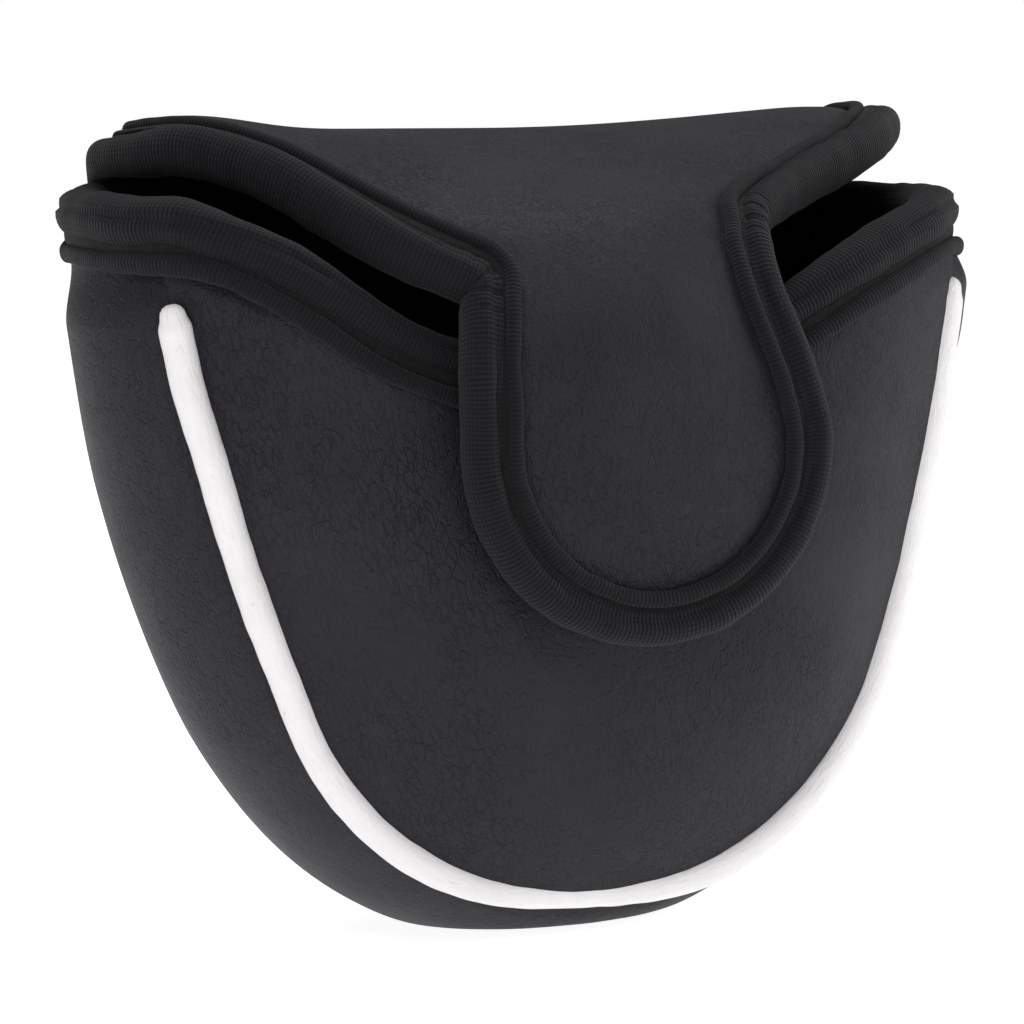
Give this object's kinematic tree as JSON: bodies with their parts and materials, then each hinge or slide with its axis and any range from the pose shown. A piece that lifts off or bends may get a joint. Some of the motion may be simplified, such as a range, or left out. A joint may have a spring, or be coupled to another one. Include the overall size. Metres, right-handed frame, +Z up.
{
  "type": "putter head cover",
  "caption": "Padded D-shaped cover for a mallet putter head, with white piping, knit-bound opening and a fold-over flap with a magnetic tongue.",
  "frame": {"origin": "centre of the flat patch under the bottom of the gusset, where the cover stands", "axes": "+Z up from the rounded bottom to the opening, -Y out of the front panel, +X to the right seen from the front"},
  "size_m": [0.1532, 0.0757, 0.1271],
  "materials": {
    "black_pu_leather": "satin",
    "foam_padding": "matte",
    "fleece_lining": "matte",
    "white_pu_leather": "satin",
    "piping_cord": "matte",
    "knit_binding": "matte",
    "magnet": "satin"
  },
  "bodies": {
    "pouch": {"front_leather": "black_pu_leather", "front_foam": "foam_padding", "front_lining": "fleece_lining", "gusset_leather": "black_pu_leather", "gusset_foam": "foam_padding", "gusset_lining": "fleece_lining", "back_leather": "black_pu_leather", "back_foam": "foam_padding", "back_lining": "fleece_lining", "front_piping_sleeve": "white_pu_leather", "front_piping_cord": "piping_cord", "back_piping_sleeve": "white_pu_leather", "back_piping_cord": "piping_cord", "opening_binding": "knit_binding", "opening_hem": "knit_binding", "panel_magnet": "magnet"},
    "flap_bridge": {"bridge_leather": "black_pu_leather", "bridge_foam": "foam_padding", "bridge_lining": "fleece_lining", "bridge_binding_left": "knit_binding", "bridge_binding_right": "knit_binding", "bridge_hem_left": "knit_binding", "bridge_hem_right": "knit_binding"},
    "flap_tongue": {"tongue_leather": "black_pu_leather", "tongue_foam": "foam_padding", "tongue_lining": "fleece_lining", "tongue_binding": "knit_binding", "tongue_hem": "knit_binding", "tongue_magnet": "magnet"}
  },
  "joints": [
    {"name": "flap_fold", "type": "hinge", "parent": "pouch", "child": "flap_bridge", "pos_m": [0, 0.0276, 0.1152], "axis": [-1, 0, 0], "range_deg": [0, 150]},
    {"name": "tongue_neck", "type": "hinge", "parent": "flap_bridge", "child": "flap_tongue", "pos_m": [0, -0.03863, 0.10824], "axis": [-1, 0, 0], "range_deg": [0, 105]}
  ]
}
